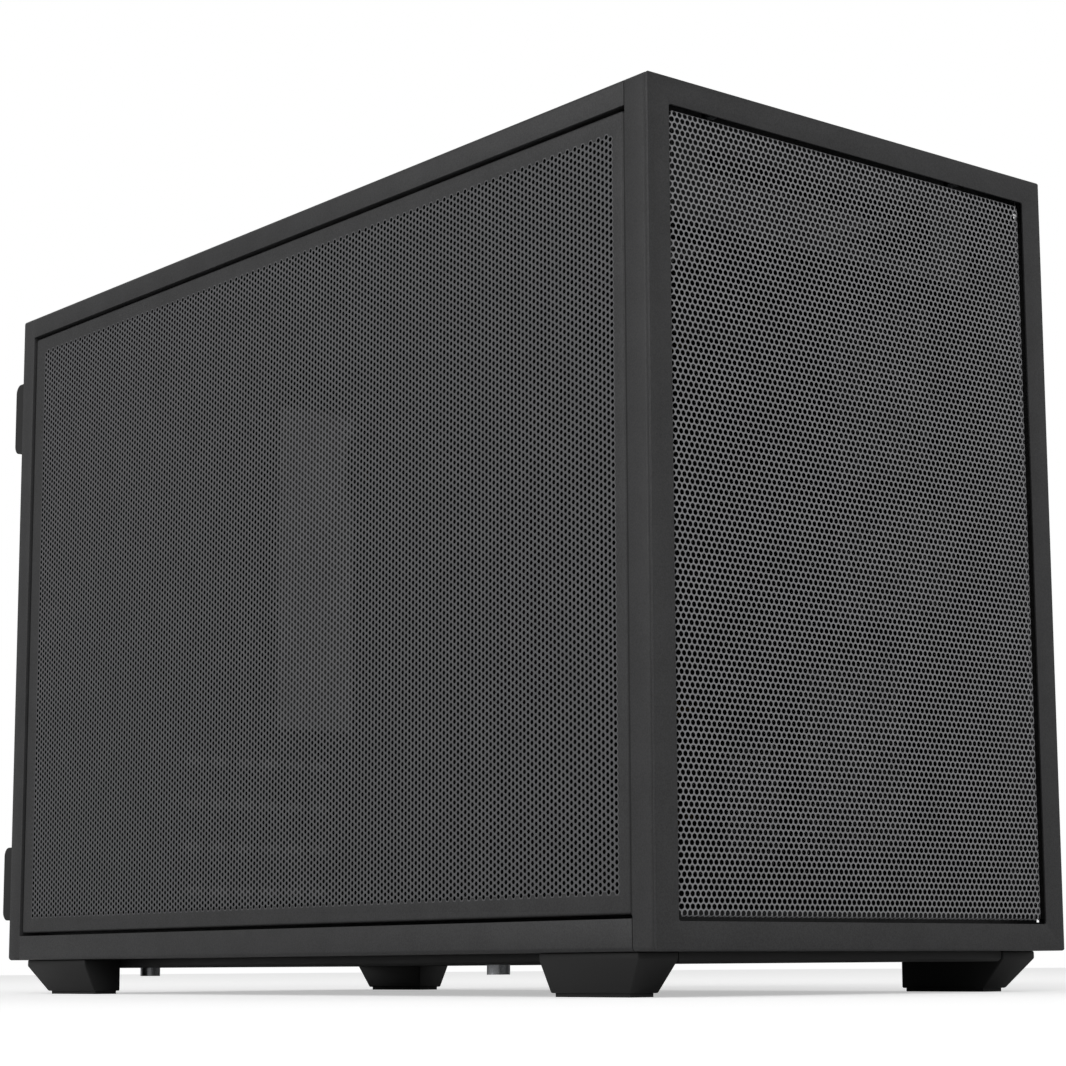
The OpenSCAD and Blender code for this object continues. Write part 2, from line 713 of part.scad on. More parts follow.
// Mains inlet with three contacts, clamped in the rear wall
module psu_inlet() color(plastic) {
    u = inlet_w / 2 - 1.5;
    v = inlet_h / 2 - 2;
    difference() {
        union() {
            block(inlet_x - inlet_w / 2, inlet_x + inlet_w / 2, y_wall - inlet_d, y_wall + sheet_t,
                inlet_z - inlet_h / 2, inlet_z + inlet_h / 2);
            along_y(y_wall + sheet_t, y_wall + sheet_t + 2)
                translate([inlet_x, inlet_z]) rounded(inlet_hole_s + 10, inlet_flange_h, 5);
        }
        along_y(y_wall - inlet_d + 5, y_wall + sheet_t + 3) translate([inlet_x, inlet_z])
            polygon([[-u, -v], [u, -v], [u, v - 4], [u - 4, v], [4 - u, v], [-u, v - 4]]);
        for (s = [-1, 1]) rod_y(y_wall, y_wall + 4, inlet_x + s * inlet_hole_s / 2, inlet_z, 1.7);
    }
    for (p = [[-7, -1.5], [7, -1.5], [0, 2.5]])
        block(inlet_x + p[0] - 1, inlet_x + p[0] + 1, y_wall - inlet_d + 4, y_wall - 3, inlet_z + p[1] - 2, inlet_z + p[1] + 2);
}

// Outlines of the buttons and sockets in the top bar, grown by gap
module io_cutters(z0, z1, gap) {
    rod_z(z0, z1, power_x, bar_y, power_r + gap);
    rod_z(z0, z1, reset_x, bar_y, reset_r + gap);
    along_z(z0, z1) {
        for (x = usb_x) translate([x, bar_y]) square([13.4 + 2 * gap, 6 + 2 * gap], center = true);
        translate([usb_c_x, bar_y]) rounded(9 + 2 * gap, 3.4 + 2 * gap, 1.6 + gap);
    }
    rod_z(z0, z1, audio_x, bar_y, 3.2 + gap);
}

module io_housing() color(plastic) {
    difference() {
        along_z(z_roof - io_h, z_roof) translate([0, bar_y]) rounded(io_w, io_d, 2);
        io_cutters(z_roof - io_h + 2, z_roof + 1, button_gap);
    }
}

module power_button() color(plastic) {
    rod_z(z_roof - io_h + 2 + button_travel + 0.2, z_top + 0.4, power_x, bar_y, power_r);
}

module reset_button() color(plastic) {
    rod_z(z_roof - io_h + 2 + button_travel + 0.2, z_top - 0.2, reset_x, bar_y, reset_r);
}

module usb_a_port(i) color(zinc) {
    difference() {
        block(usb_x[i] - 6.7, usb_x[i] + 6.7, bar_y - 3, bar_y + 3, z_roof - io_h + 2, z_top - 0.3);
        block(usb_x[i] - 6.2, usb_x[i] + 6.2, bar_y - 2.5, bar_y + 2.5, z_roof - io_h + 4, z_top + 1);
    }
    block(usb_x[i] - 5.6, usb_x[i] + 5.6, bar_y + 0.6, bar_y + 2.3, z_roof - io_h + 3.5, z_top - 2);
}

module usb_c_port() color(zinc) {
    difference() {
        along_z(z_roof - io_h + 2, z_top - 0.3) translate([usb_c_x, bar_y]) rounded(9, 3.4, 1.6);
        along_z(z_roof - io_h + 4, z_top + 1) translate([usb_c_x, bar_y]) rounded(8.4, 2.8, 1.3);
    }
    block(usb_c_x - 3.2, usb_c_x + 3.2, bar_y - 0.35, bar_y + 0.35, z_roof - io_h + 3.5, z_top - 2);
}

module audio_jack() color(plastic) {
    difference() {
        rod_z(z_roof - io_h + 2, z_top - 0.2, audio_x, bar_y, 3.2);
        rod_z(z_roof - io_h + 3, z_top + 1, audio_x, bar_y, 1.75);
    }
}

module filter_frame() color(plastic) {
    z0 = z_under - filter_h;
    difference() {
        intersection() {
            along_y(filter_y0, filter_y1) polygon([
                [-filter_x, z_under], [-filter_x, z0 + filter_bevel], [-filter_x + filter_bevel, z0],
                [filter_x - filter_bevel, z0], [filter_x, z0 + filter_bevel], [filter_x, z_under],
            ]);
            along_x(-filter_x, filter_x) polygon([
                [filter_y0, z_under], [filter_y0, z0 + filter_bevel], [filter_y0 + filter_bevel, z0],
                [filter_y1 - filter_bevel, z0], [filter_y1, z0 + filter_bevel], [filter_y1, z_under],
            ]);
        }
        along_z(z0 - 1, z_under + 1) for (s = [[filter_y0 + filter_bar, -filter_bar / 2], [filter_bar / 2, filter_y1 - filter_bar]])
            rounded_at(filter_open_x, filter_x - filter_bar, s[0], s[1], 4);
        for (y = thumb_at[1])
            rod_z(z0 - 1, z_under + 1, thumb_at[0], y, thumb_shank_r + screw_gap);
        block(filter_open_x - 3, filter_x - filter_bar + 3, filter_y0 + 5, filter_y1 - 5,
            z_under - 1 - filter_mesh_t, z_under + 1);
    }
}

module filter_mesh() color(coat_dark) {
    x0 = filter_open_x - 3;
    x1 = filter_x - filter_bar + 3;
    difference() {
        block(x0, x1, filter_y0 + 5, filter_y1 - 5, z_under - 1 - filter_mesh_t, z_under - 1);
        along_z(z_under - 3, z_under) translate([(x0 + x1) / 2, (filter_y0 + filter_y1) / 2])
            hex_holes(x1 - x0 - 10, filter_y1 - filter_y0 - 22, 30, 9);
    }
}

module bottom_thumbscrews() color(zinc) {
    z0 = z_under - filter_h;
    for (y = thumb_at[1]) {
        rod_z(z0 - thumb_h, z0, thumb_at[0], y, thumb_r);
        rod_z(z0 - 0.1, z0 + thumb_shank_l, thumb_at[0], y, thumb_shank_r);
    }
}

// A foot at the front left, with its outer corner at the origin
module foot() {
    h = foot_h;
    intersection() {
        along_y(0, foot_l) polygon([
            [0, h], [0, h - foot_band], [foot_slope_out, pad_h], [foot_w, pad_h], [foot_w, h],
        ]);
        along_x(0, foot_w) polygon([
            [0, h], [0, h - foot_band], [foot_slope_end, pad_h], [foot_l, pad_h], [foot_l, h],
        ]);
    }
}

module pad() {
    block(foot_slope_out + pad_inset, foot_w - pad_inset,
        foot_slope_end + pad_inset, foot_l - pad_inset, 0, pad_h);
}

// Puts a foot or a pad at a corner: side is -1 left or 1 right, end is -1 front or 1 rear
module at_corner(side, end) {
    x = side * (half_w - foot_inset_x);
    y = end < 0 ? y_front + foot_inset_y : y_rim - foot_inset_y;
    translate([x, y, 0]) mirror([side > 0 ? 1 : 0, 0, 0]) mirror([0, end > 0 ? 1 : 0, 0]) children();
}

module foot_front_left() color(plastic) at_corner(-1, -1) foot();
module foot_front_right() color(plastic) at_corner(1, -1) foot();
module foot_rear_left() color(plastic) at_corner(-1, 1) foot();
module foot_rear_right() color(plastic) at_corner(1, 1) foot();
module pad_front_left() color(rubber) at_corner(-1, -1) pad();
module pad_front_right() color(rubber) at_corner(1, -1) pad();
module pad_rear_left() color(rubber) at_corner(-1, 1) pad();
module pad_rear_right() color(rubber) at_corner(1, 1) pad();

// A rounded block that keeps the rear wall off the wall of a room
module rear_standoff(side, z) {
    x = half_w - bumper_inset;
    y0 = y_wall + sheet_t;
    color(rubber) mirror([side < 0 ? 1 : 0, 0, 0]) along_x(x - bumper_w, x) {
        rounded_at(y0, y_back, z, z + bumper_h, bumper_r);
        translate([y0, z]) square([bumper_r, bumper_h]);
    }
}

module rear_standoff_lower_left() rear_standoff(-1, z_under + bumper_low);
module rear_standoff_lower_right() rear_standoff(1, z_under + bumper_low);
module rear_standoff_upper_left() rear_standoff(-1, z_under + bumper_high);
module rear_standoff_upper_right() rear_standoff(1, z_under + bumper_high);

// A ball stud along +Z from its seat, as long as reach
module stud(reach) {
    cylinder(h = reach - ball_r, r = neck_r);
    translate([0, 0, reach - ball_r]) sphere(ball_r);
}

// A snap clip along +Z from its seat
module clip() {
    difference() {
        cylinder(h = clip_len, r = clip_r);
        translate([0, 0, -1]) cylinder(h = clip_len + 2, r = ball_r + ball_gap);
    }
}

module side_studs() {
    for (y = [-1, 1], z = [stud_z0, stud_z1])
        translate([panel_x - sheet_t, panel_y + y * side_stud_y, z]) rotate([0, -90, 0])
            stud(panel_x - sheet_t - x_ledge + sheet_t + clip_len - 1);
}

module side_clips() {
    for (y = [-1, 1], z = [stud_z0, stud_z1])
        translate([x_ledge - sheet_t, panel_y + y * side_stud_y, z]) rotate([0, -90, 0]) clip();
}

module left_panel_studs() color(zinc) mirror([1, 0, 0]) side_studs();
module right_panel_studs() color(zinc) side_studs();
module left_panel_clips() color(plastic) mirror([1, 0, 0]) side_clips();
module right_panel_clips() color(plastic) side_clips();

module front_panel_studs() color(zinc) {
    for (x = [-1, 1], z = [front_stud_z0, front_stud_z1])
        translate([x * front_stud_x, y_front + 2 * sheet_t, z]) rotate([-90, 0, 0])
            stud(front_d - sheet_t + clip_len - 1);
}

module front_panel_clips() color(plastic) {
    for (x = [-1, 1], z = [front_stud_z0, front_stud_z1])
        translate([x * front_stud_x, y_chassis + sheet_t, z]) rotate([-90, 0, 0]) clip();
}

module top_panel_studs() color(zinc) {
    z = z_top - panel_sink - sheet_t;
    for (x = [-1, 1], y = top_stud_at)
        translate([x * top_stud_x, y, z]) rotate([180, 0, 0]) stud(z - z_rail_top + clip_len - 1);
}

module top_panel_clips() color(plastic) {
    for (x = [-1, 1], y = top_stud_at)
        translate([x * top_stud_x, y, z_rail_top]) rotate([180, 0, 0]) clip();
}

front_panel();
front_ring();
front_mesh();
left_side_panel();
right_side_panel();
top_panel();
bottom_pan();
top_frame();
front_frame();
rear_panel();
rear_rim();
motherboard_tray();
motherboard_standoffs();
top_fan_bracket();
psu_bracket();
ssd_bracket();
slot_cover(0);  // slot_cover_1
slot_cover(1);  // slot_cover_2
slot_cover(2);  // slot_cover_3
slot_cover(3);  // slot_cover_4
slot_ledge();
slot_screws();
psu_inlet();
io_housing();
power_button();
reset_button();
usb_a_port(0);  // usb_a_port_1
usb_a_port(1);  // usb_a_port_2
usb_c_port();
audio_jack();
filter_frame();
filter_mesh();
bottom_thumbscrews();
foot_front_left();
foot_front_right();
foot_rear_left();
foot_rear_right();
pad_front_left();
pad_front_right();
pad_rear_left();
pad_rear_right();
rear_standoff_lower_left();
rear_standoff_lower_right();
rear_standoff_upper_left();
rear_standoff_upper_right();
front_panel_studs();
left_panel_studs();
right_panel_studs();
top_panel_studs();
front_panel_clips();
left_panel_clips();
right_panel_clips();
top_panel_clips();
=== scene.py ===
import json
from math import cos, pi, radians, sin, sqrt

import bmesh
import bpy
from mathutils import Matrix, Vector
from mathutils.geometry import tessellate_polygon

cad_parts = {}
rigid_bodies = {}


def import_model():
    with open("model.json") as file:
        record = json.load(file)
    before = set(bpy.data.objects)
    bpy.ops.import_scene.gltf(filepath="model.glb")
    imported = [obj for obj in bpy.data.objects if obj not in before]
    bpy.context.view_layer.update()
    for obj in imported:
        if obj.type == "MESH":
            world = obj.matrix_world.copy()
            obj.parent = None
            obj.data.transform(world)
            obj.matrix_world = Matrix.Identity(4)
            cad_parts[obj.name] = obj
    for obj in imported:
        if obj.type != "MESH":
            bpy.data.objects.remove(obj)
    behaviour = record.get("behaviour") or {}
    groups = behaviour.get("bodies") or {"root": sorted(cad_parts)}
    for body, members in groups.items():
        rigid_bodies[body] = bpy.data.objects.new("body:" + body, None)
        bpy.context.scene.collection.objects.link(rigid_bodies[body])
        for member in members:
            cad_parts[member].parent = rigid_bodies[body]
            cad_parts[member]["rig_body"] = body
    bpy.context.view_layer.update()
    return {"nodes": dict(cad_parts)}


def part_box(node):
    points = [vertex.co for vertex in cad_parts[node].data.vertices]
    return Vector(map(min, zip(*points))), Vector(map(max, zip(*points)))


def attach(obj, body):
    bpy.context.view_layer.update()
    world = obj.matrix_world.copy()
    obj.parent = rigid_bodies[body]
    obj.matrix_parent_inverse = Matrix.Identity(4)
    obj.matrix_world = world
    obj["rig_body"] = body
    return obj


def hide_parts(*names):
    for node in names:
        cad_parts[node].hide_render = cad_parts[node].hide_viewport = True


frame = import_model()
scene = bpy.context.scene
nodes = frame["nodes"]
mm = 0.001


def linear(hexColour):  # sRGB hex to Blender's linear colour
    values = [int(hexColour[i:i + 2], 16) / 255 for i in (1, 3, 5)]
    return tuple(c / 12.92 if c <= 0.04045 else ((c + 0.055) / 1.055) ** 2.4 for c in values) + (1.0,)


def addNode(tree, kind, settings=None, links=None):
    # settings: the node's own properties by name, or an input's value by name or number
    node = tree.nodes.new(kind)
    for key, value in (settings or {}).items():
        if isinstance(key, str) and hasattr(node, key):
            setattr(node, key, value)
        else:
            node.inputs[key].default_value = value
    for key, source in (links or {}).items():
        tree.links.new(source, node.inputs[key])
    return node


# Camera: low in front of the left corner, looking slightly up
cameraPlace = {
    "at": (-0.6467, -0.8331, 0.0096),
    "right": (0.76640, -0.64234, -0.00677),
    "up": (-0.09039, -0.11826, 0.98886),
    "back": (-0.63598, -0.75725, -0.14868),
    "lens": 86.49,
    "shift": (-0.0394, 0.0469),
}

cameraData = bpy.data.cameras.new("camera")
camera = bpy.data.objects.new("camera", cameraData)
scene.collection.objects.link(camera)
cameraData.sensor_fit = "HORIZONTAL"
cameraData.lens = cameraPlace["lens"]
cameraData.shift_x, cameraData.shift_y = cameraPlace["shift"]
cameraData.clip_start = 0.01
axes = Matrix([cameraPlace[k] for k in ("right", "up", "back")]).transposed()
camera.matrix_world = Matrix.Translation(cameraPlace["at"]) @ axes.to_4x4()
scene.camera = camera
print("camera set")


# Materials. Grain sizes are in millimetres and turned into noise scales per metre

def newMaterial(name):
    material = bpy.data.materials.new(name)
    material.use_nodes = True
    tree = material.node_tree
    tree.nodes.clear()
    shader = addNode(tree, "ShaderNodeBsdfPrincipled")
    output = addNode(tree, "ShaderNodeOutputMaterial", links={"Surface": shader.outputs["BSDF"]})
    place = addNode(tree, "ShaderNodeTexCoord")
    return material, tree, shader, output, place.outputs["Object"]


def noise(tree, place, grain, detail=2.0, roughness=0.5):
    scale = 1 / (grain * mm)
    made = addNode(tree, "ShaderNodeTexNoise", {"Scale": scale, "Detail": detail, "Roughness": roughness},
                   {"Vector": place})
    return made.outputs["Fac"]


def colourBand(tree, value, dark, light, low=0.3, high=0.7):
    ramp = addNode(tree, "ShaderNodeValToRGB", links={"Fac": value})
    stops = ramp.color_ramp.elements
    stops[0].position, stops[1].position = low, high
    stops[0].color, stops[1].color = linear(dark), linear(light)
    return ramp.outputs["Color"]


def valueBand(tree, value, low, high, outLow, outHigh):
    band = {"From Min": low, "From Max": high, "To Min": outLow, "To Max": outHigh}
    made = addNode(tree, "ShaderNodeMapRange", band, {"Value": value})
    return made.outputs["Result"]


def coatedSteel(name, coat):
    # Powder sprayed dry and baked: flows into a fine leathery skin with soft, broad highlights
    material, tree, shader, output, place = newMaterial(name)
    skin = noise(tree, place, coat["grain"], 3.0, 0.55)
    cloud = noise(tree, place, coat["cloud"], 2.0)
    drift = valueBand(tree, cloud, 0.3, 0.7, 0.05, 0.2)
    mixed = addNode(tree, "ShaderNodeMath", {"operation": "MULTIPLY_ADD", 1: 0.75}, {0: skin, 2: drift})
    colour = colourBand(tree, mixed.outputs[0], coat["dark"], coat["light"], 0.35, 0.65)
    tree.links.new(colour, shader.inputs["Base Color"])
    tree.links.new(valueBand(tree, skin, 0.3, 0.7, coat["rough"] + 0.06, coat["rough"] - 0.06),
                   shader.inputs["Roughness"])
    bump = addNode(tree, "ShaderNodeBump", {"Strength": coat["relief"], "Distance": coat["height"] * mm},
                   {"Height": skin})
    tree.links.new(bump.outputs["Normal"], shader.inputs["Normal"])
    shader.inputs["IOR"].default_value = 1.5
    return material


def mouldedPlastic(name, look):
    # ABS from a spark-eroded mould: even colour and a fine, dull grain
    material, tree, shader, output, place = newMaterial(name)
    grain = noise(tree, place, look["grain"], 2.0)
    tree.links.new(colourBand(tree, grain, look["dark"], look["light"]), shader.inputs["Base Color"])
    bump = addNode(tree, "ShaderNodeBump", {"Strength": look["relief"], "Distance": look["height"] * mm},
                   {"Height": grain})
    tree.links.new(bump.outputs["Normal"], shader.inputs["Normal"])
    shader.inputs["Roughness"].default_value = look["rough"]
    shader.inputs["IOR"].default_value = 1.52
    return material


def platedMetal(name, look):
    # Bright plating over turned or drawn metal: fine uneven sheen, no colour pattern to speak of
    material, tree, shader, output, place = newMaterial(name)
    grain = noise(tree, place, look["grain"], 2.0)
    tree.links.new(colourBand(tree, grain, look["dark"], look["light"]), shader.inputs["Base Color"])
    tree.links.new(valueBand(tree, grain, 0.3, 0.7, look["rough"] - 0.05, look["rough"] + 0.08),
                   shader.inputs["Roughness"])
    shader.inputs["Metallic"].default_value = 1.0
    return material


coat = {"grain": 0.55, "cloud": 14, "dark": "#1d1d1e", "light": "#2b2b2c", "rough": 0.52,
        "relief": 0.5, "height": 0.05}
# Parts inside the case: a darker copy of the same black coat, painted shade of the case's inside
innerCoatPaintedShade = dict(coat, dark="#0e0e0f", light="#161617")
# Punched sheets get a lighter coat: a painted highlight standing in for the glints on the rounded edge of
# each hole
sideCoatPaintedHighlight = dict(coat, dark="#4c4c4e", light="#555557")
frontCoatPaintedHighlight = dict(coat, dark="#78787a", light="#868688")

looks = {
    "powder_coat": coatedSteel("powder-coated steel, black, fine texture", coat),
    "side_sheet_painted_highlight": coatedSteel("powder-coated steel, punched side sheets", sideCoatPaintedHighlight),
    "front_sheet_painted_highlight": coatedSteel("powder-coated steel, punched front sheet", frontCoatPaintedHighlight),
    "inner_steel": coatedSteel("powder-coated steel, inner sheets", innerCoatPaintedShade),
    "abs": mouldedPlastic("ABS, moulded, black", {
        "grain": 0.4, "dark": "#060606", "light": "#0b0b0b", "rough": 0.62, "relief": 0.25, "height": 0.02}),
    # EPDM, pressed: duller and softer than the plastic
    "rubber": mouldedPlastic("EPDM rubber, moulded", {
        "grain": 0.7, "dark": "#131313", "light": "#1b1b1b", "rough": 0.75, "relief": 0.3, "height": 0.03}),
    "zinc_plate": platedMetal("zinc-plated steel, turned", {
        "grain": 0.8, "dark": "#9c9ea2", "light": "#c4c6c9", "rough": 0.34}),
    "brass": platedMetal("brass, turned", {
        "grain": 0.8, "dark": "#a98a4c", "light": "#c9aa66", "rough": 0.3}),
}


# Which finish each CAD node has
def slotOf(name):
    if name == "motherboard_standoffs":
        return "brass"
    if name.startswith("pad_") or name.startswith("rear_standoff"):
        return "rubber"
    if name.endswith("_studs") or name.startswith("usb") or name in ("slot_screws", "bottom_thumbscrews"):
        return "zinc_plate"
    if name.startswith("foot_") or name.endswith("_clips") or name in (
            "io_housing", "power_button", "reset_button", "audio_jack", "psu_inlet", "filter_frame"):
        return "abs"
    # parts inside the case take the darker coat copy, painted shade
    if name in ("motherboard_tray", "top_fan_bracket", "psu_bracket", "ssd_bracket", "slot_ledge",
                "filter_mesh") or name.startswith("slot_cover"):
        return "inner_steel"
    return "powder_coat"


for name, node in nodes.items():
    node.data.materials.clear()
    node.data.materials.append(looks[slotOf(name)])
print("materials made")


def addPiece(name, mesh, body, slot, *replaced):
    piece = bpy.data.objects.new(name, mesh)
    scene.collection.objects.link(piece)
    if not mesh.materials:
        mesh.materials.append(looks[slot])
    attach(piece, body)
    if replaced:
        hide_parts(*replaced)


def smoothFlat(mesh, angle=35):  # smooth shading across bends only
    mesh.polygons.foreach_set("use_smooth", [True] * len(mesh.polygons))
    mesh.set_sharp_from_angle(angle=radians(angle))


def evaluated(holder):  # a plain mesh of what the holder's modifiers make
    graph = bpy.context.evaluated_depsgraph_get()
    mesh = bpy.data.meshes.new_from_object(holder.evaluated_get(graph))
    bpy.data.objects.remove(holder)
    return mesh


# Perforated sheet as geometry nodes: one hexagon of steel round a hole, repeated in staggered rows

rowRatio = sqrt(3) / 2  # from row to row, as a share of the pitch


def perforatedTree():
    tree = bpy.data.node_groups.new("perforated sheet", "GeometryNodeTree")
    sockets = {}
    for name, kind in (("Columns", "Int"), ("Rows", "Int"), ("Pitch", "Float"), ("Cell", "Object"),
                       ("Weld", "Float"), ("Finish", "Material")):
        made = tree.interface.new_socket(name=name, in_out="INPUT", socket_type="NodeSocket" + kind)
        sockets[name] = made.identifier
    tree.interface.new_socket(name="Geometry", in_out="OUTPUT", socket_type="NodeSocketGeometry")
    given = addNode(tree, "NodeGroupInput").outputs

    def worked(operation, *values):  # one sum of links and plain numbers
        numbers = {i: v for i, v in enumerate(values) if isinstance(v, float)}
        sources = {i: v for i, v in enumerate(values) if not isinstance(v, float)}
        return addNode(tree, "ShaderNodeMath", {"operation": operation, **numbers}, sources).outputs[0]

    rowStep = worked("MULTIPLY", given["Pitch"], rowRatio)
    points = addNode(tree, "GeometryNodeMeshGrid", links={
        "Size X": worked("MULTIPLY", worked("SUBTRACT", given["Columns"], 1.0), given["Pitch"]),
        "Size Y": worked("MULTIPLY", worked("SUBTRACT", given["Rows"], 1.0), rowStep),
        "Vertices X": given["Columns"], "Vertices Y": given["Rows"]})
    index = addNode(tree, "GeometryNodeInputIndex")
    odd = worked("MODULO", worked("MODULO", index.outputs[0], given["Rows"]), 2.0)
    # every second row is moved by half a pitch: one a quarter to the left, the next a quarter to the right
    stagger = worked("MULTIPLY", worked("MULTIPLY_ADD", odd, 0.5, -0.25), given["Pitch"])
    shift = addNode(tree, "ShaderNodeCombineXYZ", links={"X": stagger})
    placed = addNode(tree, "GeometryNodeSetPosition", links={
        "Geometry": points.outputs["Mesh"], "Offset": shift.outputs[0]})
    cell = addNode(tree, "GeometryNodeObjectInfo", links={"Object": given["Cell"]})
    cells = addNode(tree, "GeometryNodeInstanceOnPoints", links={
        "Points": placed.outputs[0], "Instance": cell.outputs["Geometry"]})
    real = addNode(tree, "GeometryNodeRealizeInstances", links={"Geometry": cells.outputs[0]})
    welded = addNode(tree, "GeometryNodeMergeByDistance", links={
        "Geometry": real.outputs[0], "Distance": given["Weld"]})
    coated = addNode(tree, "GeometryNodeSetMaterial", links={
        "Geometry": welded.outputs[0], "Material": given["Finish"]})
    addNode(tree, "NodeGroupOutput", links={"Geometry": coated.outputs[0]})
    return tree, sockets


sheetTree, sheetSockets = perforatedTree()
weld = 0.01  # corners of neighbouring cells this close become one


def onCircle(radius, degrees):
    return Vector((radius * cos(radians(degrees)), radius * sin(radians(degrees)), 0))


def sheetCell(pitch, hole, sides):
    # Hexagon with a hole in the middle; the hole has one or two sides for each side of the hexagon
    work = bmesh.new()
    outer = [work.verts.new(onCircle(pitch / sqrt(3), a)) for a in range(30, 390, 60)]
    inner = [work.verts.new(onCircle(hole / 2, a)) for a in range(30, 390, 360 // sides)]
    step = sides // 6
    for i in range(6):
        near = [inner[(i * step + k) % sides] for k in range(step, -1, -1)]
        work.faces.new([outer[i], outer[(i + 1) % 6]] + near)
    mesh = bpy.data.meshes.new("sheet_cell")
    work.to_mesh(mesh)
    work.free()
    cell = bpy.data.objects.new("sheet_cell", mesh)
    scene.collection.objects.link(cell)
    return cell


def perforatedField(name, columns, rows, pitch, hole, sides, finish):
    cell = sheetCell(pitch, hole, sides)
    holder = bpy.data.objects.new(name + "_holder", bpy.data.meshes.new(name))
    scene.collection.objects.link(holder)
    modifier = holder.modifiers.new("sheet", "NODES")
    modifier.node_group = sheetTree
    values = {"Columns": columns, "Rows": rows, "Pitch": pitch, "Cell": cell, "Weld": weld * mm,
              "Finish": finish}
    for key, value in values.items():
        modifier[sheetSockets[key]] = value
    mesh = evaluated(holder)
    bpy.data.objects.remove(cell)
    return mesh


def outerLoop(work):  # the field's zigzag outline, in order
    edges = [e for e in work.edges if e.is_boundary]
    start = min((v for e in edges for v in e.verts), key=lambda v: (v.co.x, v.co.y))
    loop, last = [start], None
    while True:
        step = next(e for e in loop[-1].link_edges if e.is_boundary and e is not last)
        vertex = step.other_vert(loop[-1])
        if vertex is start:
            return loop
        loop.append(vertex)
        last = step


noArea = 1e-12  # square metres: three points in a line


def addMargin(work, x0, x1, y0, y1):  # plain steel between the holes and the bends
    loop = outerLoop(work)
    corners = [work.verts.new((x, y, 0)) for x, y in ((x0, y0), (x1, y0), (x1, y1), (x0, y1))]
    every = corners + loop
    for three in tessellate_polygon([[v.co.copy() for v in corners], [v.co.copy() for v in loop]]):
        face = [every[i] for i in three]
        a, b, c = (v.co for v in face)
        turned = (b - a).cross(c - a).z
        if abs(turned) > noArea:
            work.faces.new(face if turned > 0 else face[::-1])


def foldedEdge(width, height, fold):
    # The sheet's edge rolled round its bend and down to the return, as a closed strip round the flat
    steps = fold["segments"]
    rings = [(fold["bend"] * sin(k * pi / 2 / steps), -fold["bend"] * (1 - cos(k * pi / 2 / steps)))
             for k in range(steps + 1)]
    inner = fold["bend"] - fold["thick"]
    rings += [(fold["bend"], -fold["depth"]), (inner, -fold["depth"]), (inner, -fold["bend"])]
    halfX, halfY = width / 2 - fold["bend"], height / 2 - fold["bend"]
    work = bmesh.new()
    loops = []
    for out, drop in rings:
        loop = []
        for quarter, (sx, sy) in enumerate(((1, 1), (-1, 1), (-1, -1), (1, -1))):
            corner = Vector((sx * halfX, sy * halfY, drop))
            for k in range(steps + 1):
                loop.append(work.verts.new(corner + onCircle(out, (quarter + k / steps) * 90)))
        loops.append(loop)
    count = len(loops[0])
    for a, b in zip(loops, loops[1:]):
        for i in range(count):
            j = (i + 1) % count
            work.faces.new((a[i], b[i], b[j], a[j]))
    return work


def finishedMesh(name, work, place):
    bmesh.ops.remove_doubles(work, verts=work.verts, dist=weld / 2 * mm)
    bmesh.ops.transform(work, matrix=place, verts=work.verts)
    if place.determinant() < 0:
        bmesh.ops.reverse_faces(work, faces=work.faces)
    mesh = bpy.data.meshes.new(name)
    work.to_mesh(mesh)
    work.free()
    mesh.materials.append(looks["powder_coat"])
    # second slot: the lighter coat, a painted highlight of the hole edges
    mesh.materials.append(looks["side_sheet_painted_highlight"])
    smoothFlat(mesh)
    return mesh


# Side and top panels
panelSheet = {
    "pitch": 2.386,  # from hole to hole
    "hole": 1.74,  # diameter across the corners
    "holeSides": 6,
    "bend": 1.0,
    "thick": 0.8,
    "segments": 4,
    "marginEnds": 6.5,  # plain steel at the ends of the rows
    "marginFront": 4.7,
    "marginRear": 7.5,
}


def flatSheet(name, width, height, values):  # the punched stretch and its margin, lying in XY
    pitch, hole = values["pitch"] * mm, values["hole"] * mm
    front, rear = values["marginFront"] * mm, values["marginRear"] * mm
    columns = int((width - 2 * values["marginEnds"] * mm - hole - pitch / 2) / pitch) + 1
    rows = int((height - front - rear - hole) / (pitch * rowRatio)) + 1
    field = perforatedField(name, columns, rows, pitch, hole, values["holeSides"], looks["side_sheet_painted_highlight"])
    shift = (front - rear) / 2
    work = bmesh.new()
    work.from_mesh(field)
    for face in work.faces:
        face.material_index = 1  # the lighter coat of the punched stretch, a painted highlight of the hole edges
    halfX, halfY = width / 2 - values["bend"] * mm, height / 2 - values["bend"] * mm
    addMargin(work, -halfX, halfX, -halfY - shift, halfY - shift)
    bmesh.ops.translate(work, verts=work.verts, vec=(0, shift, 0))
    return work


def addTo(work, other):  # copies one bmesh into another
    passing = bpy.data.meshes.new("passing")
    other.to_mesh(passing)
    work.from_mesh(passing)
    bpy.data.meshes.remove(passing)


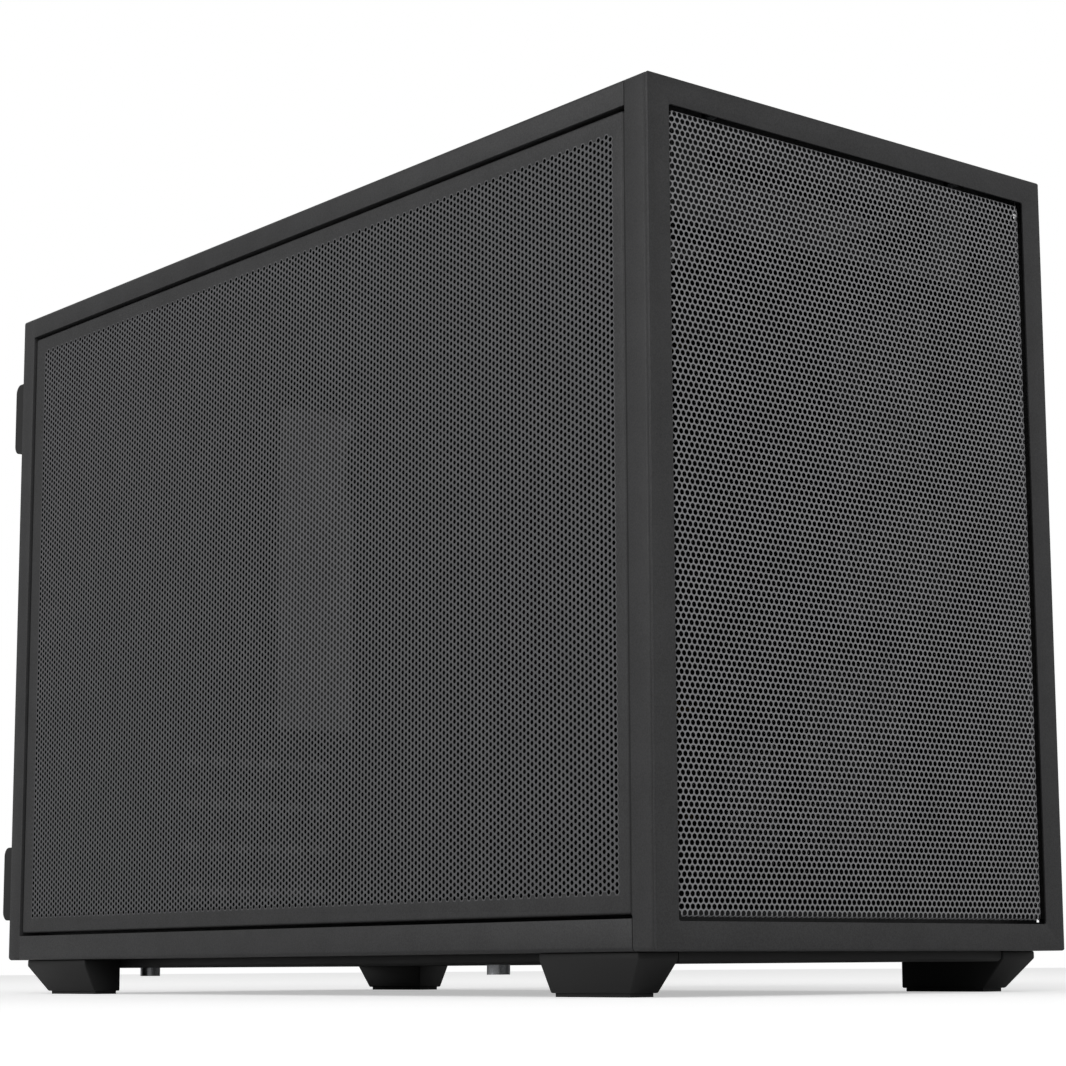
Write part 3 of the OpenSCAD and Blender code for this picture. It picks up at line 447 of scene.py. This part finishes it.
def perforatedPanel(name, axis, sign, values):
    # axis 0: a side panel with its face across X. axis 2: the top panel, with its face up
    low, high = (Vector(v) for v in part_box(name))
    across = 2 if axis == 0 else 0
    width, height = high[across] - low[across], high[1] - low[1]
    halves = {"front": bmesh.new(), "rear": flatSheet(name, width, height, values)}
    addTo(halves["front"], halves["rear"])
    for side, part in halves.items():
        gone = [f for f in part.faces if (f.calc_center_median().y > 0) == (side == "front")]
        bmesh.ops.delete(part, geom=gone, context="FACES")
    edge = foldedEdge(width, height, {"bend": values["bend"] * mm, "thick": values["thick"] * mm,
                                      "depth": high[axis] - low[axis], "segments": values["segments"]})
    addTo(halves["front"], edge)
    edge.free()
    centre = (low + high) / 2
    centre[axis] = high[axis] if sign > 0 else low[axis]
    turn = Matrix.Identity(4)
    if axis == 0:  # the rows stand upright and the face looks along X
        turn = Matrix(((0, 0, sign), (0, 1, 0), (1, 0, 0))).to_4x4()
    place = Matrix.Translation(centre) @ turn
    for side, part in halves.items():
        mesh = finishedMesh(name + "_" + side + "_half", part, place)
        replaced = (name,) if side == "front" else ()
        addPiece(mesh.name, mesh, nodes[name]["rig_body"], "powder_coat", *replaced)


perforatedPanel("left_side_panel", 0, -1, panelSheet)
perforatedPanel("right_side_panel", 0, 1, panelSheet)
perforatedPanel("top_panel", 2, 1, panelSheet)
print("side and top panels made")


# Dust nets of black nylon, flat behind the perforated sheets and the rear fan's grille; behind the side, top
# and rear sheets they are nearly closed, a dark sheet that paints the shade inside the case
netAndPaintedShade = {
    # near-black weave: painted shade where the net is nearly closed
    "weave": "#030303",
    "uneven": 30,  # patches of tighter and looser weave
    "behind": 0.9,  # from a panel's face
    "behindFront": 2.0,
    "edge": 3.0,  # inside a panel's outline
    "frontHalfWidth": 87.5,
    "frontBottom": 27.5,
    "frontTop": 293.0,
    "grilleAt": (-34.4, 222.7),  # middle of the rear fan's grille, X and Z
    "grilleRadius": 59.5,
    "grilleGap": 0.4,
    # see-through share of the area; the small shares behind the side, top and rear sheets make a nearly
    # closed black sheet, painted shade of the case's inside
    "open": {"left_side_panel": 0.015, "right_side_panel": 0.015, "top_panel": 0.03, "rear_panel": 0.05,
             "front_mesh": 0.5},
}


def dustNetAndPaintedShade(name, corners, body):
    # The weave is far finer than a pixel, so the open share of its area is see-through
    material, tree, shader, output, place = newMaterial("woven_nylon_net_" + name)
    shader.inputs["Base Color"].default_value = linear(netAndPaintedShade["weave"])
    shader.inputs["Roughness"].default_value = 1.0
    shader.inputs["Specular IOR Level"].default_value = 0.1
    uneven = noise(tree, place, netAndPaintedShade["uneven"])
    share = netAndPaintedShade["open"][name]
    openness = valueBand(tree, uneven, 0.3, 0.7, share * 0.85, share * 1.15)
    clear = addNode(tree, "ShaderNodeBsdfTransparent")
    mix = addNode(tree, "ShaderNodeMixShader",
                  links={0: openness, 1: shader.outputs[0], 2: clear.outputs[0]})
    tree.links.new(mix.outputs[0], output.inputs["Surface"])
    mesh = bpy.data.meshes.new(name + "_net")
    mesh.from_pydata(corners, [], [range(len(corners))])
    mesh.materials.append(material)
    addPiece(name + "_net", mesh, body, "abs")


def panelPaintedShadeNet(name, axis, sign):
    low, high = (Vector(v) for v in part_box(name))
    inset = netAndPaintedShade["edge"] * mm
    face = (high[axis] if sign > 0 else low[axis]) - sign * netAndPaintedShade["behind"] * mm
    y0, y1 = low.y + inset, high.y - inset
    other = 2 if axis == 0 else 0
    u0, u1 = low[other] + inset, high[other] - inset
    pairs = ((u0, y0), (u1, y0), (u1, y1), (u0, y1))
    corners = [(face, y, u) if axis == 0 else (u, y, face) for u, y in pairs]
    dustNetAndPaintedShade(name, corners, nodes[name]["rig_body"])


def grillePaintedShadeNet():
    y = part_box("rear_panel")[0][1] - netAndPaintedShade["grilleGap"] * mm
    x, z = netAndPaintedShade["grilleAt"]
    rim = [onCircle(netAndPaintedShade["grilleRadius"], a) for a in range(0, 360, 10)]
    dustNetAndPaintedShade("rear_panel", [((x + v.x) * mm, y, (z + v.y) * mm) for v in rim], "chassis")


def frontNet():
    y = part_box("front_panel")[0][1] + netAndPaintedShade["behindFront"] * mm
    x, z0, z1 = (netAndPaintedShade[k] * mm for k in ("frontHalfWidth", "frontBottom", "frontTop"))
    dustNetAndPaintedShade("front_mesh", [(-x, y, z0), (x, y, z0), (x, y, z1), (-x, y, z1)], "front_panel")


panelPaintedShadeNet("left_side_panel", 0, -1)
panelPaintedShadeNet("right_side_panel", 0, 1)
panelPaintedShadeNet("top_panel", 2, 1)
grillePaintedShadeNet()
frontNet()
print("dust nets and painted shade sheets made")


# Foam strips that close the seam between the front panel and the side rails
sealStrip = {"size": (0.8, 9.3, 268.0), "at": (99.3, -213.5, 160.3)}


def frontSeal(strip):
    x, y, z = strip["at"]
    work = bmesh.new()
    for side in (-1, 1):
        corners = bmesh.ops.create_cube(work, size=mm)["verts"]
        bmesh.ops.scale(work, vec=strip["size"], verts=corners)
        bmesh.ops.translate(work, vec=Vector((side * x, y, z)) * mm, verts=corners)
    mesh = bpy.data.meshes.new("front_seal")
    work.to_mesh(mesh)
    work.free()
    addPiece("front_seal", mesh, "front_panel", "rubber")


frontSeal(sealStrip)
print("front seal made")


# Front mesh: holes run over its rolled edges
frontSheet = {
    "pitch": 2.37,
    "hole": 1.9,
    "holeSides": 12,
    "gap": 1.3,  # from the frame's opening to the rolled edge
    "bend": 1.2,
    "wall": 1.6,  # perforated stretch behind the bend
    "sink": 1.0,  # behind the front face
    "openingWidth": 181.0,
    "openingHeight": 272.1,
}


def rollEdges(mesh, halfX, halfY, bend):
    work = bmesh.new()
    work.from_mesh(mesh)
    slack = 0.001 * mm
    corners = [f for f in work.faces if all(
        abs(v.co.x) > halfX - slack and abs(v.co.y) > halfY - slack for v in f.verts)]
    bmesh.ops.delete(work, geom=corners, context="FACES")
    for v in work.verts:
        for k, half in ((0, halfX), (1, halfY)):
            past = abs(v.co[k]) - half
            if past <= 0:
                continue
            angle = min(past / bend, pi / 2)
            rest = past - angle * bend
            sign = 1 if v.co[k] > 0 else -1
            v.co[k] = sign * (half + bend * sin(angle))
            v.co.z -= bend * (1 - cos(angle)) + rest
    work.to_mesh(mesh)
    work.free()


def frontMeshPiece(values):
    low, high = (Vector(v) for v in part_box("front_mesh"))
    centre = (low + high) / 2
    bend = values["bend"] * mm
    halfX = values["openingWidth"] / 2 * mm - values["gap"] * mm - bend
    halfY = values["openingHeight"] / 2 * mm - values["gap"] * mm - bend
    extra = bend * pi / 2 + values["wall"] * mm
    pitch = values["pitch"] * mm
    columns = int(2 * (halfX + extra) / pitch)
    rows = int(2 * (halfY + extra) / (pitch * rowRatio))
    # the front sheet's lighter coat is a painted highlight of the hole edges
    mesh = perforatedField("front_mesh_sheet", columns, rows, pitch, values["hole"] * mm,
                           values["holeSides"], looks["front_sheet_painted_highlight"])
    rollEdges(mesh, halfX, halfY, bend)
    turn = Matrix(((1, 0, 0), (0, 0, -1), (0, 1, 0))).to_4x4()  # local Z to world -Y
    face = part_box("front_panel")[0][1] + values["sink"] * mm
    mesh.transform(Matrix.Translation((centre.x, face, centre.z)) @ turn)
    smoothFlat(mesh)
    addPiece("front_mesh_sheet", mesh, "front_panel", "powder_coat", "front_mesh")


frontMeshPiece(frontSheet)
print("front mesh made")


# Sheet-metal and moulded pieces: the CAD form with its edges broken, so that they catch light

edgeCut = {"segments": 2, "sharpest": 30, "smoothBelow": 50, "weld": 0.002, "flat": 0.4}


def brokenEdges(name, width):
    source = nodes[name]
    work = bmesh.new()
    work.from_mesh(source.data)
    bmesh.ops.remove_doubles(work, verts=work.verts, dist=edgeCut["weld"] * mm)
    bmesh.ops.dissolve_limit(work, angle_limit=radians(edgeCut["flat"]), verts=work.verts, edges=work.edges)
    mesh = bpy.data.meshes.new(name + "_finished")
    work.to_mesh(mesh)
    work.free()
    holder = bpy.data.objects.new(name + "_holder", mesh)
    scene.collection.objects.link(holder)
    bevel = holder.modifiers.new("edges", "BEVEL")
    bevel.width = width * mm
    bevel.segments = edgeCut["segments"]
    bevel.limit_method = "ANGLE"
    bevel.angle_limit = radians(edgeCut["sharpest"])
    finished = evaluated(holder)
    finished.materials.clear()
    smoothFlat(finished, edgeCut["smoothBelow"])
    addPiece(name + "_finished", finished, source["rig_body"], slotOf(name), name)


edgeWidths = {
    "front_panel": 0.12, "front_ring": 0.12, "bottom_pan": 0.2, "top_frame": 0.2,
    "rear_panel": 0.15, "rear_rim": 0.15,
    "foot_front_left": 0.5, "foot_front_right": 0.5, "foot_rear_left": 0.5, "foot_rear_right": 0.5,
    "filter_frame": 0.25, "power_button": 0.4, "reset_button": 0.25,
}
for name, width in edgeWidths.items():
    brokenEdges(name, width)
print("edges broken")


# Stage: pale floor, white surroundings, soft lamps
stageLook = {"floor": "#e9e9e9", "floorLift": 0.45, "ambient": 0.42, "size": 6.0}

world = bpy.data.worlds.new("white studio")
scene.world = world
world.use_nodes = True
air = world.node_tree
air.nodes.clear()
path = addNode(air, "ShaderNodeLightPath")
seen = addNode(air, "ShaderNodeMath", {"operation": "MAXIMUM"},
               {0: path.outputs["Is Camera Ray"], 1: path.outputs["Is Transmission Ray"]})
strength = valueBand(air, seen.outputs[0], 0, 1, stageLook["ambient"], 1.0)
glow = addNode(air, "ShaderNodeBackground", {"Color": linear("#ffffff")}, {"Strength": strength})
addNode(air, "ShaderNodeOutputWorld", links={"Surface": glow.outputs[0]})

floorMaterial, tree, shader, output, place = newMaterial("studio floor, painted")
shader.inputs["Base Color"].default_value = linear(stageLook["floor"])
shader.inputs["Roughness"].default_value = 0.9
shader.inputs["Specular IOR Level"].default_value = 0.1
path = addNode(tree, "ShaderNodeLightPath")
lift = valueBand(tree, path.outputs["Is Camera Ray"], 0, 1, 0.0, stageLook["floorLift"])
shader.inputs["Emission Color"].default_value = linear("#ffffff")
tree.links.new(lift, shader.inputs["Emission Strength"])

work = bmesh.new()
bmesh.ops.create_grid(work, x_segments=1, y_segments=1, size=stageLook["size"])
floorMesh = bpy.data.meshes.new("floor")
work.to_mesh(floorMesh)
work.free()
floorMesh.materials.append(floorMaterial)
floor = bpy.data.objects.new("floor", floorMesh)
scene.collection.objects.link(floor)

lamps = {
    "key": {"at": (-1.5, -1.9, 1.5), "size": 1.6, "power": 24},
    "left": {"at": (-2.2, 0.6, 1.0), "size": 1.6, "power": 14},
    "right": {"at": (1.6, -1.8, 0.9), "size": 1.4, "power": 3},
}
target = Vector((0, 0, 0.16))  # middle of the case
for name, lamp in lamps.items():
    data = bpy.data.lights.new(name, "AREA")
    data.shape = "SQUARE"
    data.size = lamp["size"]
    data.energy = lamp["power"]
    light = bpy.data.objects.new(name, data)
    scene.collection.objects.link(light)
    light.location = lamp["at"]
    light.rotation_euler = (target - Vector(lamp["at"])).to_track_quat("-Z", "Y").to_euler()
print("stage set")

scene.view_settings.view_transform = "Standard"
